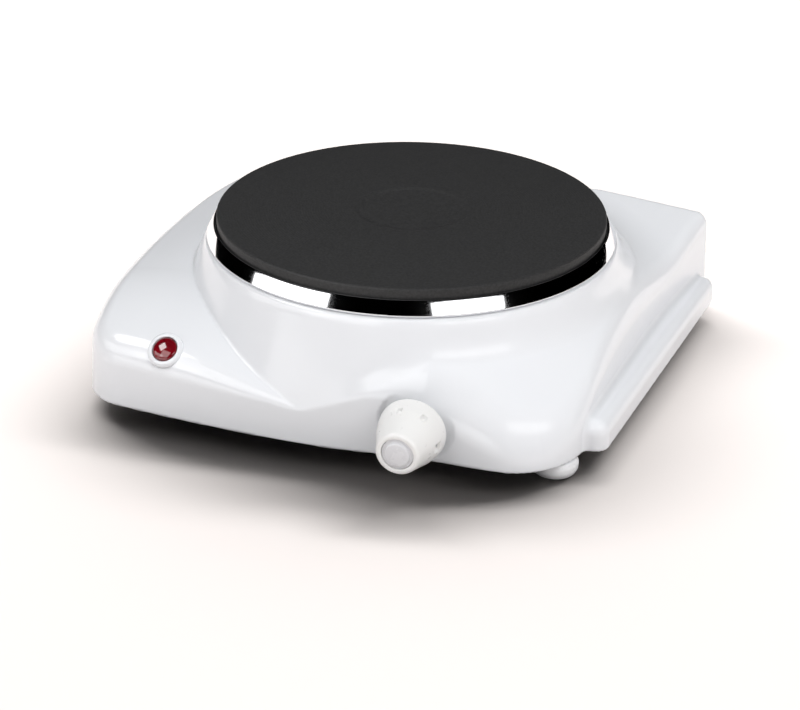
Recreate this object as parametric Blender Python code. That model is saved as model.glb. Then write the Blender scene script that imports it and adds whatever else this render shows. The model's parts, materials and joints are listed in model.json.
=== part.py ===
"""Single electric hot plate: a cast iron plate on a moulded housing, with a thermostat knob.

Dimensions in this file are millimetres and are scaled to metres when a mesh is written.
The frame: +X right, +Y back, +Z up, with the feet standing on Z = 0. Dimensions are given from
the plate's axis, and the finished whole is moved so that its footprint is centred on the origin.
"""

import math

import bmesh
import bpy
import numpy as np
from mathutils import Matrix, Vector

MM = 0.001
GAP = 0.3  # clearance left between pieces that touch
FRAME_SHIFT = (-0.8, 8.4, 0.0)  # from the plate's axis to the middle of the footprint

# Heights of the stack on the plate's axis
FLOOR_LEVEL = 8.0  # lower edge of the housing
COLLAR_TOP = 66.5  # flat ring of the housing that carries the trim ring
PLATE_TOP = 78.0
PLATE_RADIUS = 92.5
COLLAR_BORE = 86.0

# Cone under the collar
CONE_RADIUS = 97.6
CONE_HEIGHT = 67.0
CONE_SLOPE = 2.5
WALL = 2.4

# Knob and its pocket in the front wall
KNOB_X = 37.8
KNOB_Z = 25.2
KNOB_END = -137.0
KNOB_BACK = -109.8
POCKET_RADIUS = 16.4  # at its back; it widens forwards
POCKET_DRAFT = 0.25
POCKET_BACK = -108.5
POCKET_WALL = 3.4

# Indicator lamp on the left lobe
LAMP_SPOT = (-82.0, -104.0)
LENS_RADIUS = 5.9

# Rounding of the housing's top edge against azimuth in degrees, from the front towards +X
EDGE_ROUNDING = (
    (-180, 6.0), (-120, 8.0), (-60, 9.0), (-35, 9.0), (-14, 3.0), (8, 3.0), (28, 12.0), (42, 13.0),
    (58, 5.0), (85, 7.0), (110, 8.0), (140, 6.0), (180, 6.0),
)

# Plan corners of the housing, where the outer form needs more points
CORNERS = ((126.0, 110.0), (-113.0, 110.0), (-119.0, -108.0))

# Raised rail along the foot of the right side
RAIL_SLANT = 0.120
RAIL_INNER = 105.0
RAIL_OUTER = 123.9
RAIL_FRONT = -79.0
RAIL_BACK = 97.0
RAIL_TOP = 22.0
RAIL_ROUNDING = 6.0

# Base plate, feet and the posts that their screws reach
BASE_LOW = 9.0
BASE_HIGH = 10.2
FEET = {
    "front_left": (-104.0, -86.0),
    "front_right": (94.0, -86.0),
    "rear_left": (-104.0, 90.0),
    "rear_right": (106.0, 90.0),
}
FOOT_RADIUS = 10.5

# Cord inlet in the rear wall
GLAND_SPOT = (-62.0, 24.0)

# Thermostat stack, beside the spindle
STACK_X = 17.0
ARM_LEVELS = {"bimetal": -95.0, "contact": -89.0, "fixed": -84.6}


# ---------------------------------------------------------------- materials and mesh helpers


def material(name, colour, roughness, metallic=0.0):
    finish = bpy.data.materials.new(name)
    finish.use_nodes = True
    shader = finish.node_tree.nodes["Principled BSDF"]
    shader.inputs["Base Color"].default_value = (*colour, 1.0)
    shader.inputs["Roughness"].default_value = roughness
    shader.inputs["Metallic"].default_value = metallic
    finish.diffuse_color = (*colour, 1.0)
    return finish


def link(name, mesh, finish, smooth=40.0):
    """Put a mesh in the scene as a named part."""
    mesh.materials.append(finish)
    mesh.shade_smooth()
    mesh.set_sharp_from_angle(angle=math.radians(smooth))
    part = bpy.data.objects.new(name, mesh)
    bpy.context.collection.objects.link(part)
    return part


def mesh_part(name, points, faces, finish, place=None):
    """A part from points in millimetres, with its faces turned outwards."""
    mesh = bpy.data.meshes.new(name)
    mesh.from_pydata([Vector(point) * MM for point in points], [], faces)
    work = bmesh.new()
    work.from_mesh(mesh)
    bmesh.ops.recalc_face_normals(work, faces=work.faces)
    if place is not None:
        work.transform(place)
    work.to_mesh(mesh)
    work.free()
    return link(name, mesh, finish)


def pose(x=0.0, y=0.0, z=0.0, turn=None):
    """A placement: a turn, then a move given in millimetres."""
    move = Matrix.Translation(Vector((x, y, z)) * MM)
    return move if turn is None else move @ turn


ALONG_BACK = Matrix.Rotation(math.radians(-90), 4, "X")  # turns +Z to +Y
ALONG_RIGHT = Matrix.Rotation(math.radians(90), 4, "Y")  # turns +Z to +X


def turned(name, profile, finish, steps=48, place=None):
    """A closed profile of (radius, height) turned about Z."""
    points = []
    loops = []
    for radius, height in profile:
        if radius == 0:
            loops.append([len(points)] * steps)
            points.append((0.0, 0.0, height))
            continue
        loops.append([len(points) + step for step in range(steps)])
        for step in range(steps):
            angle = 2 * math.pi * step / steps
            points.append((radius * math.cos(angle), radius * math.sin(angle), height))
    faces = []
    for index, loop in enumerate(loops):
        after = loops[(index + 1) % len(loops)]
        for step in range(steps):
            beyond = (step + 1) % steps
            corners = [loop[step], loop[beyond], after[beyond], after[step]]
            face = list(dict.fromkeys(corners))
            if len(face) > 2:
                faces.append(face)
    return mesh_part(name, points, faces, finish, place)


def rod(name, radius, low, high, finish, steps=16, place=None):
    profile = [(0, low), (radius, low), (radius, high), (0, high)]
    return turned(name, profile, finish, steps, place)


def ring(name, inner, outer, low, high, finish, steps=32, place=None):
    profile = [(inner, low), (outer, low), (outer, high), (inner, high)]
    return turned(name, profile, finish, steps, place)


def block(name, low, high, finish, bevel=0.0):
    """A box between two corners, with rounded edges where a bevel is given."""
    mesh = bpy.data.meshes.new(name)
    work = bmesh.new()
    bmesh.ops.create_cube(work, size=1.0)
    size = Vector(high) - Vector(low)
    middle = (Vector(high) + Vector(low)) / 2
    bmesh.ops.scale(work, vec=size * MM, verts=work.verts)
    bmesh.ops.translate(work, vec=middle * MM, verts=work.verts)
    if bevel:
        bmesh.ops.bevel(work, geom=work.edges, offset=bevel * MM, segments=2, affect="EDGES", profile=0.5)
    work.to_mesh(mesh)
    work.free()
    return link(name, mesh, finish)


def prism(name, outline, low, high, finish, place=None):
    """An outline of (x, y) points extruded from low to high along Z."""
    count = len(outline)
    points = [(x, y, low) for x, y in outline] + [(x, y, high) for x, y in outline]
    faces = [list(range(count)), list(range(count, 2 * count))]
    for index in range(count):
        after = (index + 1) % count
        faces.append([index, after, after + count, index + count])
    return mesh_part(name, points, faces, finish, place)


def wire(name, route, radius, finish, finer=3):
    """A wire along a smooth curve through the route's points, each stretch cut into finer steps."""
    path = []
    ends = [route[0], *route, route[-1]]
    for index in range(1, len(ends) - 2):
        before, start, end, after = (Vector(point) for point in ends[index - 1 : index + 3])
        for step in range(finer):
            t = step / finer
            path.append(
                start
                + t * (end - before) / 2
                + t**2 * (before - 2.5 * start + 2 * end - after / 2)
                + t**3 * (1.5 * (start - end) + (after - before) / 2)
            )
    path.append(Vector(route[-1]))
    curve = bpy.data.curves.new(name, "CURVE")
    curve.dimensions = "3D"
    curve.bevel_depth = radius * MM
    curve.bevel_resolution = 2
    curve.use_fill_caps = True
    curve.render_resolution_u = 0
    spline = curve.splines.new("POLY")
    spline.points.add(len(path) - 1)
    for place, point in zip(spline.points, path):
        place.co = (*(point * MM), 1.0)
    curve.materials.append(finish)
    part = bpy.data.objects.new(name, curve)
    bpy.context.collection.objects.link(part)
    return part


def combine(target, tool, operation="DIFFERENCE"):
    """Cut the tool out of the target, or join it on, and keep the tool as a hidden guide."""
    tool.hide_render = True
    tool.display_type = "WIRE"
    boolean = target.modifiers.new(tool.name, "BOOLEAN")
    boolean.operation = operation
    boolean.object = tool
    boolean.solver = "EXACT"
    return target


def drill(target, x, y, radius, low, high, steps=16):
    """A round hole through the target along Z."""
    combine(target, rod(f"{target.name}_hole", radius, low, high, GUIDE, steps, pose(x, y)))


def drill_along_y(target, x, z, radius, front, back, steps=24):
    """A round hole through the target along Y."""
    tool = rod(f"{target.name}_hole", radius, front, back, GUIDE, steps, pose(x, 0, z, ALONG_BACK))
    combine(target, tool)


# ---------------------------------------------------------------- the housing's outer form


def soft_max(a, b, blend):
    """The larger of two values, with a smooth change over where they meet."""
    share = np.clip(0.5 + 0.5 * (a - b) / blend, 0.0, 1.0)
    return b + (a - b) * share + blend * share * (1.0 - share)


def soft_min(a, b, blend):
    return -soft_max(-a, -b, blend)


def round_corner(a, b, radius):
    """Where both distances are inside, their corner rounded to a radius."""
    rounding = np.hypot(np.maximum(a + radius, 0.0), np.maximum(b + radius, 0.0))
    return np.minimum(np.maximum(a, b), -radius) + rounding


def cone_height(radius):
    """The collar and the steep cone that falls from it."""
    cone = CONE_HEIGHT - CONE_SLOPE * (radius - CONE_RADIUS)
    return soft_min(COLLAR_TOP + 1.2, cone, 6.0)


def left_lobe_height(x, y):
    """The lobe with the lamp: level at the back, falling to the front and to the right."""
    front_fall = 0.0036 * np.minimum(y + 47.0, 0.0) ** 2
    back_rise = 0.03 * np.maximum(y + 47.0, 0.0)
    right_fall = 0.17 * soft_max(x + 70.0, np.zeros_like(x), 12.0)
    back_fall = 0.0015 * np.maximum(y - 40.0, 0.0) ** 2
    crown = 0.003 * np.maximum(-x - 95.0, 0.0) ** 2
    return 51.0 - front_fall + back_rise - back_fall - right_fall - crown


def right_lobe_height(x, y, radius):
    """The broad ramp behind the knob, with a flank falling to its left."""
    ramp = 58.5 - 0.84 * (radius - 95.0)
    reach = np.maximum(40.0 - x, 0.0)
    return ramp - 0.26 * reach - 0.0009 * reach**2


def rear_deck_height(x, y):
    """The rear deck, falling to both sides and, on the right, to the front."""
    side_fall = 0.10 * np.maximum(x - 71.0, 0.0) + 0.30 * np.maximum(-79.0 - x, 0.0)
    front_fall = 0.2 * (110.0 - y)
    return 59.5 - side_fall - front_fall


def deck_height(x, y):
    radius = np.hypot(x, y)
    right_side = soft_max(right_lobe_height(x, y, radius), rear_deck_height(x, y), 24.0)
    lobes = soft_max(left_lobe_height(x, y), right_side, 3.0)
    blend = 1.6 + 10.0 * np.clip((y + 20.0) / 60.0, 0.0, 1.0) + 4.0 * np.clip((x + 20.0) / 60.0, 0.0, 1.0)
    return soft_max(cone_height(radius), lobes, blend)


def deck_distance(x, y, z):
    """Distance above the deck, corrected for its slope."""
    step = 0.5
    height = deck_height(x, y)
    slope_x = (deck_height(x + step, y) - height) / step
    slope_y = (deck_height(x, y + step) - height) / step
    return (z - height) / np.sqrt(1.0 + slope_x**2 + slope_y**2)


def body_distance(x, y, z):
    """Signed distance to the housing's outer surface, without the knob pocket."""
    knob_hollow = 3.0 * np.exp(-(((x - 36.0) / 29.0) ** 2))
    front = -y - 114.5 + 0.0006 * (x + 10.0) ** 2 + 0.07 * (z - FLOOR_LEVEL) + knob_hollow
    right = x - 112.3 - 0.095 * y - 0.00055 * np.maximum(y, 0.0) ** 2 + 0.04 * (z - 22.0)
    left = -x - 134.2 + 0.0013 * (y + 5.0) ** 2 + 0.06 * (z - 42.0)
    back = y - 110.5 + 0.05 * (z - FLOOR_LEVEL)
    wall = round_corner(front, right, 28.0)
    wall = round_corner(wall, left, 16.0)
    wall = round_corner(wall, back, 6.0)
    wall = np.maximum(wall, round_corner(left, back, 34.0))
    rounding = np.interp(np.degrees(np.arctan2(x, -y)), *zip(*EDGE_ROUNDING))
    return round_corner(deck_distance(x, y, z), wall, rounding)


def directions(count):
    """Azimuths all round, with more of them across the plan corners."""
    spread = [2 * math.pi * index / count for index in range(count)]
    for x, y in CORNERS:
        corner = math.atan2(y, x) % (2 * math.pi)
        spread += [corner + math.radians(1.3 * step) for step in range(-3, 4)]
    ordered = []
    for azimuth in sorted(spread):
        if not ordered or azimuth - ordered[-1] > math.radians(0.5):
            ordered.append(azimuth)
    return ordered


def body_solid(name, inset, azimuths, steps, finish):
    """The outer form, or the form inset from it, closed by a flat top and a flat bottom."""
    low = FLOOR_LEVEL - (1.0 if inset else 0.0)
    top = COLLAR_TOP - inset
    start = 70.0
    aim = math.atan2(top - low, 90.0 - start)
    angles = np.linspace(0.0, aim, 240)
    points = []
    spread = directions(azimuths)
    for azimuth in spread:
        inside = np.zeros_like(angles)
        outside = np.full_like(angles, 110.0)
        for _ in range(40):
            middle = (inside + outside) / 2
            radius = start + middle * np.cos(angles)
            height = low + middle * np.sin(angles)
            x = radius * math.cos(azimuth)
            y = radius * math.sin(azimuth)
            distance = body_distance(x, y, height) + inset
            distance = np.maximum(distance, height - top)
            inside = np.where(distance < 0, middle, inside)
            outside = np.where(distance < 0, outside, middle)
        radius = start + inside * np.cos(angles)
        height = low + inside * np.sin(angles)
        length = np.concatenate([[0.0], np.cumsum(np.hypot(np.diff(radius), np.diff(height)))])
        marks = np.linspace(0.0, length[-1], steps)
        for r, z in zip(np.interp(marks, length, radius), np.interp(marks, length, height)):
            points.append((r * math.cos(azimuth), r * math.sin(azimuth), z))
    faces = []
    count = len(spread)
    for index in range(count):
        after = (index + 1) % count
        for step in range(steps - 1):
            a, b = index * steps + step, after * steps + step
            faces.append([a, b, b + 1, a + 1])
    faces.append([index * steps for index in range(count)])
    faces.append([index * steps + steps - 1 for index in range(count)])
    return mesh_part(name, points, faces, finish)


def at(x, y, z):
    return float(body_distance(np.array(x), np.array(y), np.array(z)))


def lamp_pose():
    """The lamp's axis, square to the housing's surface where the lamp sits."""
    x, y = LAMP_SPOT
    low, high = 20.0, 60.0
    for _ in range(40):
        middle = (low + high) / 2
        low, high = (middle, high) if at(x, y, middle) < 0 else (low, middle)
    step = 0.5
    normal = Vector((at(x + step, y, low) - at(x - step, y, low), at(x, y + step, low) - at(x, y - step, low),
                     at(x, y, low + step) - at(x, y, low - step)))
    return pose(x, y, low, normal.to_track_quat("Z", "Y").to_matrix().to_4x4())


def build_rail(finish):
    """A bar with rounded ends and a rounded top, slanting outwards to the back."""
    middle = (RAIL_INNER + RAIL_OUTER) / 2
    half = (RAIL_OUTER - RAIL_INNER) / 2
    plan = []
    corners = ((1, RAIL_BACK, 0), (-1, RAIL_BACK, 90), (-1, RAIL_FRONT, 180), (1, RAIL_FRONT, 270))
    for side, end, start in corners:
        centre_x = side * (half - RAIL_ROUNDING)
        centre_y = end - math.copysign(RAIL_ROUNDING, end)
        for step in range(5):
            angle = math.radians(start + 22.5 * step)
            across, along = RAIL_ROUNDING * math.cos(angle), RAIL_ROUNDING * math.sin(angle)
            plan.append((centre_x + across, centre_y + along))
    levels = [(0.0, FLOOR_LEVEL), (0.0, RAIL_TOP - RAIL_ROUNDING)]
    for step in range(1, 5):
        angle = math.radians(20.0 * step)
        drop = RAIL_ROUNDING * (1 - math.sin(angle))
        levels.append((RAIL_ROUNDING * (1 - math.cos(angle)), RAIL_TOP - drop))
    centre_y = (RAIL_FRONT + RAIL_BACK) / 2
    length = (RAIL_BACK - RAIL_FRONT) / 2
    points = []
    for inset, height in levels:
        for across, along in plan:
            y = centre_y + (along - centre_y) * (length - inset) / length
            points.append((middle + across * (half - inset) / half + RAIL_SLANT * y, y, height))
    count = len(plan)
    faces = [list(range(count)), list(range(count * (len(levels) - 1), count * len(levels)))]
    for level in range(len(levels) - 1):
        for index in range(count):
            after = (index + 1) % count
            a, b = level * count + index, level * count + after
            faces.append([a, b, b + count, a + count])
    return mesh_part("rail", points, faces, finish)


def pocket_solid(name, outset, steps, finish):
    """The knob's pocket, which widens towards the front."""
    back = POCKET_BACK + outset
    front_radius = POCKET_RADIUS + outset + POCKET_DRAFT * (back - KNOB_END)
    profile = [(0, KNOB_END), (front_radius, KNOB_END), (POCKET_RADIUS + outset, back), (0, back)]
    return turned(name, profile, finish, steps, pose(KNOB_X, 0, KNOB_Z, ALONG_BACK))


def build_housing(finish):
    housing = body_solid("housing", 0.0, 64, 14, finish)
    combine(housing, build_rail(finish), "UNION")
    hollow = body_solid("housing_hollow", WALL, 44, 9, finish)
    combine(hollow, pocket_solid("pocket_wall", POCKET_WALL, 24, finish))
    for name, (x, y) in FEET.items():
        post = rod(f"post_{name}", 4.5, BASE_HIGH + GAP, 60.0, finish, 16, pose(x, y))
        combine(hollow, post)
    combine(housing, hollow)
    combine(housing, pocket_solid("pocket", 0.0, 36, finish))
    drill(housing, 0, 0, COLLAR_BORE, COLLAR_TOP - 12, COLLAR_TOP + 5, 48)
    for x, y in FEET.values():
        drill(housing, x, y, 1.7, BASE_LOW, 24.0, 12)
    drill_along_y(housing, KNOB_X, KNOB_Z, 4.8, POCKET_BACK - 3, POCKET_BACK + 6)
    drill_along_y(housing, GLAND_SPOT[0], GLAND_SPOT[1], 6.3, 100.0, 116.0)
    lamp_hole = rod("lamp_hole", LENS_RADIUS + GAP, -12.0, 8.0, finish, 24, lamp_pose())
    combine(housing, lamp_hole)
    return housing


# ---------------------------------------------------------------- hot plate and heater


GROOVES = {"inner": (30.0, 48.0), "outer": (58.0, 76.0)}
PLATE_BOTTOM = 60.0
GROOVE_TOP = 69.0
GROOVE_FLOOR = 65.5  # underside of the insulating compound
COIL_RADIUS = 2.2


def build_plate(finish):
    rim_low = COLLAR_TOP + 1.0 + 2 * GAP
    profile = [
        (0, PLATE_TOP - 0.8), (24.5, PLATE_TOP - 0.8), (27.0, PLATE_TOP), (91.3, PLATE_TOP),
        (PLATE_RADIUS, PLATE_TOP - 1.0), (PLATE_RADIUS, rim_low), (84.5, rim_low), (84.5, PLATE_BOTTOM),
    ]
    for inner, outer in reversed(GROOVES.values()):
        profile += [
            (outer, PLATE_BOTTOM), (outer, GROOVE_TOP), (inner, GROOVE_TOP), (inner, PLATE_BOTTOM),
        ]
    profile += [(3.4, PLATE_BOTTOM), (3.4, 70.0), (0, 70.0)]
    return turned("cast_iron_plate", profile, finish, 48)


def build_trim_ring(finish):
    """A flange that lies on the collar, and a sloping band that rises beside the plate."""
    base = COLLAR_TOP + GAP
    profile = [
        (87.0, base), (97.0, base), (97.4, base + 0.8), (94.0, base + 6.4), (93.4, base + 6.7),
        (93.0, base + 6.2), (96.2, base + 1.0), (87.0, base + 1.0),
    ]
    return turned("trim_ring", profile, finish, 48)


def build_heater(coil_finish, compound_finish, steel):
    for name, (inner, outer) in GROOVES.items():
        ring(f"coil_compound_{name}", inner + GAP, outer - GAP, GROOVE_FLOOR, GROOVE_TOP - GAP,
             compound_finish, 32)
        middle = (inner + outer) / 2
        route = []
        for step in range(35):
            angle = math.radians(-80 + 10 * step)
            route.append((middle * math.cos(angle), middle * math.sin(angle),
                          GROOVE_FLOOR - COIL_RADIUS - GAP))
        wire(f"heater_coil_{name}", route, COIL_RADIUS, coil_finish, 1)
    cover = turned(
        "heater_cover",
        [(6.0, 58.6), (83.0, 58.6), (84.0, 59.4), (84.0, 59.7), (6.0, 59.7)],
        steel, 32,
    )
    drill(cover, 52.0, -8.0, 3.0, 55.0, 62.0, 12)


def build_supports(steel, zinc):
    """The stud through the plate's middle, and what it pulls against."""
    rod("centre_stud", 3.0, 33.0, 69.6, zinc, 16)
    shield = turned(
        "heat_shield",
        [(5.0, 49.0), (66.0, 49.0), (78.0, 53.0), (78.0, 53.8), (65.8, 49.8), (5.0, 49.8)],
        steel, 32,
    )
    drill(shield, 52.0, -8.0, 4.5, 46.0, 54.0, 12)
    bridge = block("mounting_bridge", (-11, -88, 40.0), (11, 88, 42.0), steel, 0.4)
    for end in (-1, 1):
        low, high = sorted((end * 84.0, end * 88.0))
        lug = block(f"bridge_end_{end}", (-11, low, 40.5), (11, high, 57.0), steel, 0.4)
        combine(bridge, lug, "UNION")
    drill(bridge, 0, 0, 3.4, 38.0, 44.0, 16)
    ring("bridge_washer", 3.4, 8.0, 38.4, 39.7, zinc, 24)
    nut = prism("bridge_nut", [(5.77 * math.cos(math.radians(60 * k)), 5.77 * math.sin(math.radians(60 * k)))
                               for k in range(6)], 33.6, 38.1, zinc)
    drill(nut, 0, 0, 3.3, 30.0, 40.0, 16)


# ---------------------------------------------------------------- knob and thermostat


KNOB_PROFILE = [  # radius against distance behind the end face
    (8.8, 0.0), (9.7, 1.0), (10.2, 3.0), (11.8, 8.0), (13.8, 14.0), (14.7, 18.5), (15.0, 21.0),
    (14.8, 22.4),
]
CAP_RADIUS = 6.9
DENT_CIRCLE = 14.3
DENTS = (  # angle in degrees, radius and half length
    (105.0, 1.1, 1.6), (58.0, 1.1, 1.6), (-7.0, 1.6, 2.6), (-67.0, 1.1, 1.6), (-127.0, 1.1, 1.6),
    (165.0, 1.1, 1.6),
)


def pivot(name, x, y, z):
    """An empty on a joint's axis, which the moving pieces hang from."""
    empty = bpy.data.objects.new(name, None)
    empty.location = Vector((x, y, z)) * MM
    bpy.context.collection.objects.link(empty)
    return empty


def hang(empty, *parts):
    """Parent parts to an empty without moving them."""
    for part in parts:
        part.parent = empty
        part.matrix_parent_inverse = Matrix.Translation(empty.location).inverted()


def build_knob(plastic, cap_plastic, steel):
    place = pose(KNOB_X, KNOB_END, KNOB_Z, ALONG_BACK)
    outside = [(radius, depth) for radius, depth in KNOB_PROFILE]
    profile = [(0, 4.0), (CAP_RADIUS + GAP, 4.0), (CAP_RADIUS + GAP, 1.0), (CAP_RADIUS + 0.9, 0.0), *outside]
    profile += [(14.0, 22.4), (12.6, 16.0), (8.5, 15.0), (8.5, 27.2), (3.2, 27.2), (3.2, 12.0), (0, 12.0)]
    knob = turned("control_knob", profile, plastic, 30, place)
    for degrees, radius, half in DENTS:
        x = KNOB_X + DENT_CIRCLE * math.cos(math.radians(degrees))
        z = KNOB_Z + DENT_CIRCLE * math.sin(math.radians(degrees))
        dent_place = pose(x, KNOB_END + 14.0, z, ALONG_BACK)
        combine(knob, rod("knob_dent", radius, -half, half, plastic, 10, dent_place))
    cap = turned(
        "knob_cap",
        [(0, 3.7), (CAP_RADIUS, 3.7), (CAP_RADIUS, 0.6), (6.2, -0.1), (4.5, -0.7), (0, -1.0)],
        cap_plastic, 32, place,
    )
    spindle_place = pose(KNOB_X, 0, KNOB_Z, ALONG_BACK)
    spindle = rod("thermostat_spindle", 2.9, KNOB_END + 13.0, -97.2, steel, 20, spindle_place)
    hang(pivot("knob_axis", KNOB_X, KNOB_BACK, KNOB_Z), knob, cap, spindle)


def build_thermostat(steel, zinc, brass, ceramic, bimetal_steel, silver):
    inside = POCKET_BACK + POCKET_WALL + GAP
    turned(
        "spindle_bush",
        [(3.1, -0.6), (6.5, -0.6), (6.5, 0.0), (4.6, 0.0), (4.6, 6.0), (3.1, 6.0)],
        brass, 24, pose(KNOB_X, POCKET_BACK - GAP, KNOB_Z, ALONG_BACK),
    )
    frame = block("thermostat_frame", (9.0, inside, 15.0), (48.0, inside + 1.2, 31.0), steel, 0.3)
    drill_along_y(frame, KNOB_X, KNOB_Z, 4.9, inside - 2, inside + 4)
    drill_along_y(frame, STACK_X, KNOB_Z, 1.9, inside - 2, inside + 4, 16)
    rivet = turned(
        "stack_rivet",
        [(0, inside + 1.2 + GAP), (1.5, inside + 1.2 + GAP), (1.5, -80.0), (3.0, -80.0), (2.2, -78.6),
         (0, -78.2)],
        steel, 16, pose(STACK_X, 0, KNOB_Z, ALONG_BACK),
    )
    levels = list(ARM_LEVELS.values())
    edges = [inside + 1.2, *levels]
    for index, level in enumerate(levels):
        start = edges[index] + (GAP if index == 0 else 0.8 + GAP)
        ring(f"ceramic_spacer_{index + 1}", 1.8, 5.0, start, level - GAP, ceramic, 20,
             pose(STACK_X, 0, KNOB_Z, ALONG_BACK))
    ring("ceramic_spacer_4", 1.8, 5.0, levels[-1] + 0.8 + GAP, -80.3, ceramic, 20,
         pose(STACK_X, 0, KNOB_Z, ALONG_BACK))
    strips = {}
    for name, level in ARM_LEVELS.items():
        finish = bimetal_steel if name == "bimetal" else brass
        reach = {"bimetal": 34.0, "contact": 52.0, "fixed": 54.0}[name]
        strip = block(f"{name}_arm", (STACK_X - 8.0, level, KNOB_Z - 4), (reach, level + 0.8, KNOB_Z + 4),
                      finish, 0.0)
        drill_along_y(strip, STACK_X, KNOB_Z, 1.8, level - 2, level + 3, 16)
        strips[name] = strip
    strips["bimetal"].name = "bimetal_strip"
    pin_place = pose(KNOB_X, 0, KNOB_Z, ALONG_BACK)
    pin = turned(
        "push_pin", [(0, -96.9), (2.6, -96.9), (2.6, -95.6), (1.6, -95.2), (1.6, -89.4), (0, -89.4)],
        ceramic, 16, pin_place,
    )
    contact_x = 48.0
    contact_place = pose(contact_x, 0, KNOB_Z, ALONG_BACK)
    low, high = ARM_LEVELS["contact"] + 0.8 + GAP, ARM_LEVELS["contact"] + 2.0
    moving = rod("moving_contact", 2.2, low, high, silver, 16, contact_place)
    low, high = ARM_LEVELS["fixed"] - 1.0, ARM_LEVELS["fixed"] - GAP
    rod("fixed_contact", 2.2, low, high, silver, 16, contact_place)
    hang(pivot("contact_pivot", STACK_X, ARM_LEVELS["contact"], KNOB_Z), strips["contact"], moving)
    hang(pivot("pin_guide", KNOB_X, -93.0, KNOB_Z), pin)
    hang(pivot("bimetal_pivot", STACK_X, ARM_LEVELS["bimetal"], KNOB_Z), strips["bimetal"])


# ---------------------------------------------------------------- lamp, terminals, inlet, base


def build_lamp(red, holder_plastic, glass, resistor_finish, clip_steel):
    place = lamp_pose()
    lens = [(0, -6.0), (LENS_RADIUS - 0.5, -6.0), (LENS_RADIUS - 0.5, -0.4), (LENS_RADIUS - 0.2, 0.5),
            (5.2, 1.3), (3.4, 2.4), (0, 3.0)]
    turned("pilot_lens", lens, red, 24, place)
    ring("lamp_clip", LENS_RADIUS - 0.2, 7.2, -5.8, -5.2, clip_steel, 24, place)
    turned(
        "lamp_holder",
        [(3.4, -20.0), (5.0, -20.0), (5.0, -6.3), (3.4, -6.3)],
        holder_plastic, 20, place,
    )
    turned("neon_bulb", [(0, -18.0), (2.6, -18.0), (2.8, -17.0), (2.8, -9.5), (1.6, -7.6), (0, -7.0)],
           glass, 16, place)
    block("lamp_resistor", (-66.0, -96.0, 14.0), (-56.0, -93.0, 17.0), resistor_finish, 0.6)


TERMINALS = {"live": -14.0, "neutral": 0.0, "earth": 14.0}


def build_terminals(ceramic, brass, fuse_finish, zinc):
    centre_x, centre_y = -45.0, 62.0
    body = block("terminal_block", (centre_x - 22, centre_y - 9, BASE_HIGH + GAP),
                 (centre_x + 22, centre_y + 9, 24.0), ceramic, 0.8)
    for name, offset in TERMINALS.items():
        x = centre_x + offset
        tool = block(f"slot_{name}", (x - 4, centre_y - 12, 17.0), (x + 4, centre_y + 12, 27.0), ceramic, 0.0)
        combine(body, tool)
        terminal = block(f"terminal_{name}", (x - 3.4, centre_y - 8, 17.3), (x + 3.4, centre_y + 8, 22.5),
                         brass, 0.5)
        drill_along_y(terminal, x, 19.9, 1.5, centre_y - 10, centre_y + 10, 12)
    turned("thermal_fuse", [(0, -9.0), (1.9, -9.0), (1.9, 9.0), (0, 9.0)], fuse_finish, 16,
           pose(20.0, 40.0, 46.0, ALONG_RIGHT))
    turned("earth_screw", [(0, 1.5), (3.4, 1.5), (3.4, 3.2), (2.4, 4.0), (0, 4.2)], zinc, 16,
           pose(62.0, 58.0, BASE_HIGH + 1.0))
    block("earth_tag", (57.0, 54.0, BASE_HIGH + GAP), (79.0, 62.0, BASE_HIGH + 1.1), brass, 0.0)


def build_inlet(black_plastic, zinc):
    x, z = GLAND_SPOT
    turned(
        "cord_gland",
        [(3.8, -8.0), (6.0, -8.0), (6.0, 0.0), (9.0, 0.0 + GAP), (9.0, 1.6), (7.6, 3.0), (6.0, 6.0),
         (5.4, 11.0), (3.8, 11.0)],
        black_plastic, 24, pose(x, 110.2, z, ALONG_BACK),
    )
    block("cord_clamp", (x - 14, 84.0, BASE_HIGH + GAP), (x + 14, 92.0, 15.5), black_plastic, 0.6)
    for side in (-1, 1):
        turned(f"clamp_screw_{'left' if side < 0 else 'right'}",
               [(0, 15.8), (2.8, 15.8), (2.8, 17.2), (1.8, 18.0), (0, 18.0)], zinc, 16,
               pose(x + 9.5 * side, 88.0))


def base_outline(inset, azimuths):
    """The housing's plan outline at the base plate, drawn in by an inset."""
    outline = []
    for index in range(azimuths):
        azimuth = 2 * math.pi * index / azimuths
        inside, outside = 60.0, 200.0
        for _ in range(40):
            middle = (inside + outside) / 2
            x = np.array(middle * math.cos(azimuth))
            y = np.array(middle * math.sin(azimuth))
            if float(body_distance(x, y, np.array(BASE_LOW))) + inset < 0:
                inside = middle
            else:
                outside = middle
        outline.append((inside * math.cos(azimuth), inside * math.sin(azimuth)))
    return outline


def build_base(steel):
    base = prism("base_plate", base_outline(WALL + 2.6, 64), BASE_LOW, BASE_HIGH, steel)
    for row in range(-3, 4):
        for side in (-1, 1):
            x = 34.0 * side
            tool = block(f"vent_{row}_{side}", (x - 20, 14.0 * row - 2.0, BASE_LOW - 2),
                         (x + 20, 14.0 * row + 2.0, BASE_HIGH + 2), steel, 0.0)
            combine(base, tool)
    for x, y in FEET.values():
        drill(base, x, y, 2.2, BASE_LOW - 2, BASE_HIGH + 2, 12)
    combine(base, pocket_solid("knob_recess", POCKET_WALL + 1.0, 24, steel))
    return base


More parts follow.
